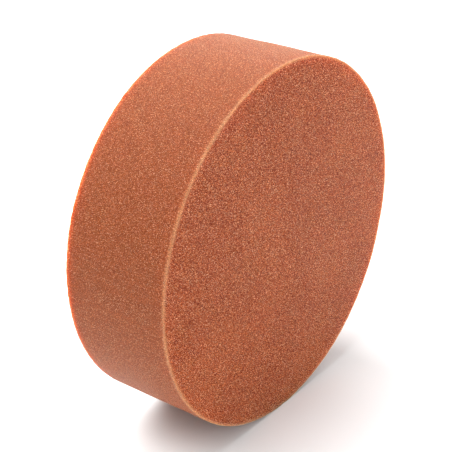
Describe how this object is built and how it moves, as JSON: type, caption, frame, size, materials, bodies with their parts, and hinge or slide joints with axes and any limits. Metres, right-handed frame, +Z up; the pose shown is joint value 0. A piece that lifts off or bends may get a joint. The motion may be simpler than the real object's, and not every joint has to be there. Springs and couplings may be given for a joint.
{
  "type": "polishing pad",
  "caption": "Thick round open-cell foam polishing pad with a flat working face and a smaller bonded loop fabric disc on its back for a hook-faced backing plate.",
  "frame": {"origin": "middle of the pad's thickness, at the lowest point of its round edge, on the surface that the pad stands on", "axes": "+Z up, +Y along the pad's axis from the working face to the loop back, +X across the working face"},
  "size_m": [0.16, 0.0524, 0.16],
  "materials": {
    "foam": "fine open-cell polyurethane foam, matt, salmon orange",
    "adhesive": "thin hot-melt film, milky, a little yellow and slightly glossy where it shows",
    "loop_fabric": "knitted velour of fine nylon loops in shallow ribs, light grey"
  },
  "bodies": {
    "root": {"foam_pad": "foam", "adhesive_film": "adhesive", "loop_backing": "loop_fabric"}
  },
  "joints": []
}
